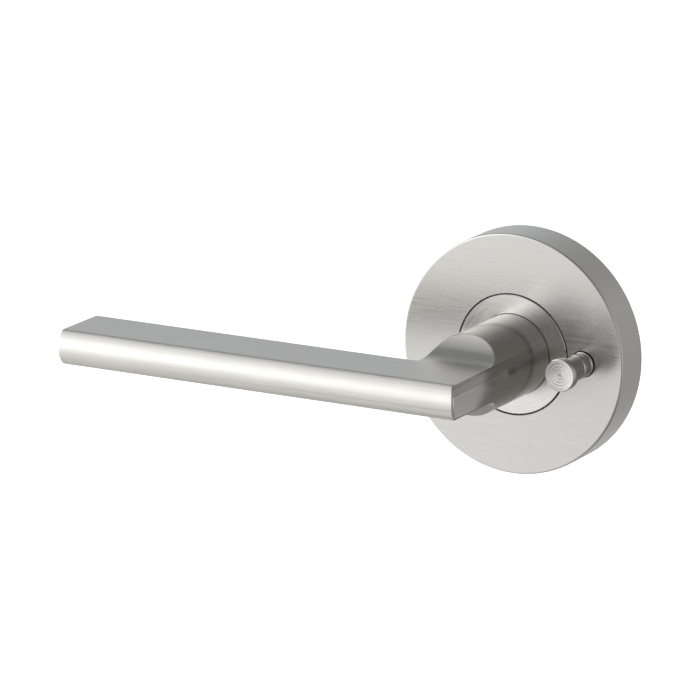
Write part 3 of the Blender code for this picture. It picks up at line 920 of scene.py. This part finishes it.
def groove(centre, half, deep):
    """A round-bottomed groove in the shank, with a hair of a chamfer at each side."""
    lip = SHANK_R - SHOULDER
    angles = [math.pi * i / 8 for i in range(1, 8)]
    return [
        (SHANK_R, centre + half + 0.1 * MM),
        (lip, centre + half),
        *((lip - (deep - SHOULDER) * math.sin(a), centre + half * math.cos(a)) for a in angles),
        (lip, centre - half),
        (SHANK_R, centre - half - 0.1 * MM),
    ]


def pin_profile():
    face_r = PIN_HEAD_R - HEAD_EDGE
    back = PIN_FRONT - HEAD_T
    profile = tool_marks(face_r, PIN_FRONT - 0.01 * MM, RING_PITCH, RING_LIFT, DISH)
    profile += bow((face_r, PIN_FRONT - HEAD_EDGE), HEAD_EDGE, 80, 0, 6)
    profile += bow((PIN_HEAD_R - BACK_EDGE, back + BACK_EDGE), BACK_EDGE, 0, -90, 5)
    profile += bow((SHANK_R, back - GRIP / 2), GRIP / 2, 90, 270, 15)
    profile += groove(RING_AT, 0.45 * MM, 0.35 * MM)
    profile += groove(DETENT_AT + TRAVEL, 0.75 * MM, 0.40 * MM)
    profile += groove(DETENT_AT, 0.75 * MM, 0.40 * MM)
    low = depths("privacy_pin")[0]
    profile += [(SHANK_R - 0.2 * MM, low), (LINK_BORE_R, low)]
    profile += [(LINK_BORE_R, LINK_BORE_TOP), (0, LINK_BORE_TOP)]
    return profile


pin_mesh = turned("pin", pin_profile(), turned_pin, steps=128, at=(PIN_X, 0))
piece("pin", pin_mesh, turned_pin, "pin", "turned_nickel", "privacy_pin", crease=28)

# %% [markdown]
# ## Threaded pieces
# The through bolts, the cage's screws and the grub screws use the lathe with its thread
# turned on. The profile needs several rows for each pitch, so a helper lays them.

# %% Screws and bolts
ROWS_PER_PITCH = 6
SCREW_STEPS = 40
THREAD_DEPTH = 0.55


def shank(radius, top, foot, pitch):
    """Rows down a plain shank, close enough together to carry a thread."""
    count = max(2, int(ROWS_PER_PITCH * (top - foot) / pitch))
    return [(radius, top + (foot - top) * i / count) for i in range(count + 1)]


def threaded(start, end, pitch):
    depth = pitch * THREAD_DEPTH
    return {"Thread Start": start, "Thread End": end, "Thread Depth": depth, "Pitch": pitch}


def hex_key(at, across, axis, length):
    """A six-sided recess cutter, centred on a point and running along an axis."""
    reach = Vector(axis) * length / 2
    return rod_mesh("key", Vector(at) - reach, Vector(at) + reach, across / math.sqrt(3), 6)


def make_bolt(side):
    node = f"fixing_bolt_{side}"
    foot, top = depths(node)
    spot = middle(node)
    head_r, head, dome = 3.8 * MM, 2.4 * MM, 1.2 * MM
    seat = top - head
    radius = 2.0 * MM
    pitch = 0.7 * MM
    profile = [(0, top)] + bow((head_r - dome, top - dome), dome, 90, 0, 8)
    profile += [(head_r, seat), (radius, seat)]
    profile += shank(radius, seat - 1 * MM, foot + 0.6 * MM, pitch)
    profile += [(radius - 0.6 * MM, foot), (0, foot)]
    thread = threaded(foot, 2 * MM, pitch)
    mesh = turned(node, profile, bright_steel, SCREW_STEPS, at=(spot.x, spot.z), thread=thread)
    key = hex_key((spot.x, -top, spot.z), 2.5 * MM, (0, 1, 0), 3.0 * MM)
    mesh = carve(node, mesh, [("DIFFERENCE", key)])
    return piece(f"through_bolt_{side}", mesh, bright_steel, "rose", "bright_steel", node, crease=40)


def make_cage_screw(side):
    node = f"cage_screw_{side}"
    foot, top = depths(node)
    spot = middle(node)
    head_r, head, dome = 2.7 * MM, 1.7 * MM, 1.0 * MM
    seat = foot + head
    radius = 1.5 * MM
    pitch = 0.5 * MM
    profile = [(0, top)] + shank(radius, top - 0.1 * MM, seat, pitch)
    profile += [(head_r, seat)]
    profile += bow((head_r - dome, foot + dome), dome, 0, -90, 8)
    profile += [(0, foot)]
    thread = threaded(seat, top, pitch)
    mesh = turned(node, profile, bright_steel, SCREW_STEPS, at=(spot.x, spot.z), thread=thread)
    key = hex_key((spot.x, -foot, spot.z), 2.0 * MM, (0, 1, 0), 2.2 * MM)
    mesh = carve(node, mesh, [("DIFFERENCE", key)])
    return piece(f"cage_fixing_{side}", mesh, bright_steel, "rose", "bright_steel", node, crease=40)


for side in ("upper", "lower"):
    make_bolt(side)
for side in ("left", "right"):
    make_cage_screw(side)

# %% [markdown]
# The grub screws stand across the axis, so their turned mesh is made upright and then
# set in its bore. Only their hexagon sockets show, under the neck and under the rim.

# %% Grub screws


def make_grub(node, name, radius, pitch, across, body):
    low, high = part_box(node)
    spot = middle(node)
    edge = 0.25 * MM
    profile = [(0, high.z), (radius - edge, high.z)]
    profile += shank(radius, high.z - edge, low.z + edge, pitch)
    profile += [(radius - edge, low.z), (0, low.z)]
    values = {"Steps": SCREW_STEPS, "Finish": dark_steel}
    values.update(threaded(low.z, high.z, pitch))
    mesh = outward(run_tree(node, LATHE, [(r, 0, z) for r, z in profile], [], values))
    mesh.transform(Matrix.Translation((spot.x, spot.y, 0)))
    key = hex_key((spot.x, spot.y, low.z), across, (0, 0, 1), 4.0 * MM)
    mesh = carve(node, mesh, [("DIFFERENCE", key)])
    return piece(name, mesh, dark_steel, body, "spring_steel", node, crease=40)


make_grub("lever_grub_screw", "neck_screw", 2.5 * MM, 0.8 * MM, 2.5 * MM, "lever")
make_grub("cover_grub_screw", "rim_screw", 1.25 * MM, 0.45 * MM, 1.3 * MM, "rose")

# %% [markdown]
# ## Springs
# A spring is a wire along a path. The path is a rule: a leg beside the driver's tang, a
# coil, and a leg out through the cage's slot. The tree sweeps a round section along it.
# The return spring winds up as the lever turns.

# %% The wire tree


def wire_tree():
    tree, given, result = new_tree("wire", [
        ("Wire Radius", "Float", 0.0005),
        ("Sides", "Int", 12),
        ("Finish", "Material", None),
    ])
    line = tree.add("GeometryNodeMeshToCurve")
    tree.link(given["Geometry"], line.inputs["Mesh"])
    section = tree.add("GeometryNodeCurvePrimitiveCircle")
    tree.link(given["Sides"], section.inputs["Resolution"])
    tree.link(given["Wire Radius"], section.inputs["Radius"])
    sweep = tree.add("GeometryNodeCurveToMesh")
    tree.link(line.outputs["Curve"], sweep.inputs["Curve"])
    tree.link(section.outputs["Curve"], sweep.inputs["Profile Curve"])
    sweep.inputs["Fill Caps"].default_value = True
    return finish_tree(tree, sweep.outputs["Mesh"], given, result)


WIRE = wire_tree()
print("wire tree:", len(WIRE.nodes), "nodes")

# %% Return spring and detent spring
WIRE_R = 0.65 * MM
COIL_R = 10.95 * MM
COIL_FRONT = 4.3 * MM
COIL_BACK = 7.6 * MM
TANG_HALF = 2.5 * MM
DETENT_WIRE_R = 0.2 * MM
DETENT_COIL_R = 0.85 * MM
DETENT_TURNS = 5


def wire_mesh(name, path, radius):
    edges = [(i, i + 1) for i in range(len(path) - 1)]
    values = {"Wire Radius": radius, "Sides": 12, "Finish": dark_steel}
    return outward(run_tree(name, WIRE, path, edges, values))


def coil(radius, start, end, first, last, per_turn=40):
    """Points round an axis, from one height to another, angles in degrees."""
    count = int(per_turn * abs(end - start) / 360)
    for i in range(count + 1):
        share = i / count
        angle = math.radians(start + (end - start) * share)
        yield radius * math.cos(angle), radius * math.sin(angle), first + (last - first) * share


def return_spring_path():
    """A leg beside the tang, a coil of two and a half turns, and a leg down to the slot."""
    lead = math.degrees((TANG_HALF + PLAY + WIRE_R) / COIL_R)
    start = 90 + lead
    body = [(x, y, z) for x, z, y in coil(COIL_R, start, 270 + 720, COIL_FRONT, COIL_BACK)]
    x, z = COIL_R * math.cos(math.radians(start)), COIL_R * math.sin(math.radians(start))
    front_leg = [(x, 1.7 * MM, z), (x, 3.4 * MM, z)]
    back_leg = [(0, COIL_BACK, -12.6 * MM), (0, COIL_BACK, -15.9 * MM)]
    return front_leg + body + back_leg


spring_mesh = wire_mesh("return_spring_wire", return_spring_path(), WIRE_R)
spring_mesh.materials.clear()
spring_mesh.materials.append(dark_steel)
spring_mesh.shade_smooth()
return_spring = add_mesh("return_spring_wire", spring_mesh)
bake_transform(return_spring)
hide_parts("return_spring")

spring_low, spring_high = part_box("detent_spring")
spot = middle("detent_spring")
foot, top = spring_low.z + DETENT_WIRE_R, spring_high.z - DETENT_WIRE_R
path = [
    (spot.x + x, spot.y + y, z)
    for x, y, z in coil(DETENT_COIL_R, 0, 360 * DETENT_TURNS, foot, top, 24)
]
detent_mesh = wire_mesh("detent_coil", path, DETENT_WIRE_R)
piece("detent_coil", detent_mesh, dark_steel, "rose", "spring_steel", "detent_spring", crease=50)

# %% [markdown]
# ## The pieces behind the rose
# Plate, cage, washers, spindle and clips keep the shape they were packed with. What they
# lack is broken edges. Their mesh is loose triangles, so a copy is merged, its flat
# areas are joined up, and the same small bevel runs along every sharp edge.

# %% Copies with broken edges


def refined(node, name, finish, slot, width, segments=2):
    """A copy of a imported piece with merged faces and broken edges."""
    mesh = frame["nodes"][node].data.copy()
    form = bmesh.new()
    form.from_mesh(mesh)
    bmesh.ops.remove_doubles(form, verts=form.verts, dist=1 * MICRON)
    bmesh.ops.dissolve_limit(
        form, angle_limit=math.radians(0.5), verts=form.verts, edges=form.edges,
        delimit={"NORMAL"},
    )
    form.to_mesh(mesh)
    form.free()
    body = frame["nodes"][node]["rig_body"]
    mesh = broken_edges(name, mesh, width, segments, 32)
    return piece(name, mesh, finish, body, slot, node, crease=0)


for node, name, finish, slot, width in (
    ("base_plate", "plate", cast_zinc, "cast_zinc", 0.15 * MM),
    ("spring_cage", "cage", passivated, "plated_steel", 0.15 * MM),
    ("spindle", "square_spindle", bright_steel, "bright_steel", 0.12 * MM),
    ("hub_washer", "rear_washer", bright_steel, "bright_steel", 0.10 * MM),
    ("retaining_ring", "circlip", dark_steel, "spring_steel", 0.10 * MM),
    ("pin_link_rod", "link_rod", bright_steel, "bright_steel", 0.08 * MM),
    ("pin_stop_clip", "stop_clip", dark_steel, "spring_steel", 0.08 * MM),
):
    refined(node, name, finish, slot, width)

# %% [markdown]
# The sealed inner pieces are never seen whole, but each still gets its own metal,
# nylon or brass.

# %% Finishes for the inner pieces
INNER = {
    "neck_bush": white_nylon,
    "thrust_washer": bright_steel,
    "spring_driver": cast_zinc,
    "stop_pin_rest": bright_steel,
    "stop_pin_turned": bright_steel,
    "bolt_washer_upper": bright_steel,
    "bolt_washer_lower": bright_steel,
    "pin_guide": brass,
    "detent_ball": bright_steel,
    "detent_plug": bright_steel,
}
for node, finish in INNER.items():
    mesh = frame["nodes"][node].data
    mesh.materials.clear()
    mesh.materials.append(finish)
print("inner pieces finished:", len(INNER))

# %% [markdown]
# ## Floor, light and camera
# Metal shows what stands round it, so the light is planned as reflections. The handle
# hangs in a light tent: each panel of the tent is a soft patch of light in one direction,
# brightest in front and to the left, darker above and behind. The world's shader adds the
# panels up from a table, and the tent itself is only seen in reflections: past the floor
# lies plain white. The tent's lower half stands for the floor in the metal, so the real
# floor is left out of reflections and only gives the pale ground.

# %% Floor


def plain(name, colour, roughness):
    material = bpy.data.materials.new(name)
    material.use_nodes = True
    shader = material.node_tree.nodes["Principled BSDF"]
    shader.inputs["Base Color"].default_value = (*colour, 1)
    shader.inputs["Roughness"].default_value = roughness
    return material


def make_floor(size, height):
    mesh = bpy.data.meshes.new("floor")
    form = bmesh.new()
    place = Matrix.Translation((0, 0, height))
    bmesh.ops.create_grid(form, x_segments=1, y_segments=1, size=size / 2, matrix=place)
    form.to_mesh(mesh)
    form.free()
    mesh.materials.append(plain("pale_floor", (0.93, 0.93, 0.93), 0.8))
    thing = add_mesh("floor", mesh)
    thing.visible_glossy = False
    thing.visible_shadow = False


FLOOR_SIZE = 60.0
FLOOR_HEIGHT = -0.4
make_floor(FLOOR_SIZE, FLOOR_HEIGHT)

# %% The tent's panels
# Each row is a name, the direction of the panel's middle, how tight it is, and its colour.
# Names, directions and tightness were chosen one by one. The colours were not, at first: a
# least squares solver outside this file gave them for every row but back_right. Seven rows
# still hold the solver's numbers, and the other nine were then changed.
TENT = (
    ("base", (0, 0, 1), 0, (0.155, 0.152, 0.142)),
    ("front_left_high", (-0.8, -0.5, 0.33), 8, (1.78, 1.79, 1.75)),
    ("front_top", (-0.45, -0.4, 0.8), 8, (0.50, 0.51, 0.53)),
    ("top", (-0.2, 0.1, 0.97), 6, (0.06, 0.08, 0.06)),
    ("back_left", (-0.48, 0.84, 0.25), 6, (0.48, 0.505, 0.54)),
    ("front", (-0.48, -0.87, 0.1), 12, (1.12, 1.13, 1.15)),
    ("front_left_low", (-0.85, -0.45, -0.25), 8, (1.47, 1.47, 1.46)),
    ("front_below", (-0.3, -0.55, -0.78), 6, (0.44, 0.45, 0.44)),
    ("below", (-0.3, 0.15, -0.94), 6, (0.50, 0.51, 0.48)),
    ("back_low", (-0.25, 0.8, -0.55), 6, (0.35, 0.34, 0.32)),
    ("back_right_low", (0.48, 0.84, -0.25), 6, (0.25, 0.26, 0.27)),
    ("back_right", (0.46, 0.84, 0.29), 20, (0.18, 0.18, 0.18)),
    ("back_right_high", (0.3, 0.7, 0.65), 6, (0.17, 0.17, 0.16)),
    ("front_right_low", (0.55, -0.78, -0.3), 6, (0.19, 0.19, 0.18)),
    ("front_right_high", (0.6, -0.6, 0.5), 6, (0.22, 0.22, 0.22)),
    ("left", (-1, 0.2, 0), 6, (0.36, 0.36, 0.36)),
    ("right", (1, 0.1, 0), 6, (0.85, 0.85, 0.85)),
)


WHITE = (1, 1, 1, 1)


def make_tent(panels):
    """Adds the panels up; a camera that looks past the floor sees plain white."""
    world = bpy.data.worlds.new("light_tent")
    bpy.context.scene.world = world
    world.use_nodes = True
    tree = Tree(world.node_tree)
    coords = tree.add("ShaderNodeTexCoord").outputs["Generated"]
    way = tree.vector("NORMALIZE", coords).outputs["Vector"]
    total = None
    for name, direction, tightness, colour in panels:
        facing = tree.vector("DOT_PRODUCT", way, Vector(direction).normalized()).outputs["Value"]
        patch = tree.math("POWER", tree.math("MAXIMUM", facing, 0.0001), tightness)
        glow = tree.vector("SCALE", colour)
        tree.link(patch, glow.inputs["Scale"])
        glow.label = name
        if total is None:
            total = glow.outputs["Vector"]
        else:
            total = tree.vector("ADD", total, glow.outputs["Vector"]).outputs["Vector"]
    seen = tree.add("ShaderNodeLightPath").outputs["Is Camera Ray"]
    sky = tree.mix(seen, total, WHITE)
    tree.link(sky, world.node_tree.nodes["Background"].inputs["Color"])
    print("tent panels:", len(panels))


make_tent(TENT)


def floor_light(strength, spread):
    """A broad soft light for the floor alone; reflections never see it."""
    data = bpy.data.lights.new("floor_light", "SUN")
    data.energy = strength
    data.angle = math.radians(spread)
    lamp = bpy.data.objects.new("floor_light", data)
    lamp.visible_glossy = False
    bpy.context.scene.collection.objects.link(lamp)


floor_light(strength=3.6, spread=80)

# %% Camera
# A least squares fit outside this file gave these numbers, all but the aim's depth.
AZIMUTH = 29.66
ELEVATION = 14.68
ROLL_ANGLE = -0.169
DISTANCE = 1.4936
LENS = 290.7
AIM = Vector((-0.04119, -0.0250, -0.00085))

data = bpy.data.cameras.new("camera")
data.sensor_width = 36
data.lens = LENS
data.clip_start = 0.05
camera = bpy.data.objects.new("camera", data)
bpy.context.scene.collection.objects.link(camera)
turn = Matrix.Rotation(math.radians(AZIMUTH), 4, "Z")
turn = turn @ Matrix.Rotation(math.radians(90 - ELEVATION), 4, "X")
turn = turn @ Matrix.Rotation(math.radians(ROLL_ANGLE), 4, "Z")
camera.matrix_world = Matrix.Translation(AIM) @ turn @ Matrix.Translation((0, 0, DISTANCE))
bpy.context.scene.camera = camera
bpy.context.scene.view_settings.view_transform = "Standard"
bpy.context.scene.view_settings.look = "None"
print("camera at", [round(v, 3) for v in camera.location])
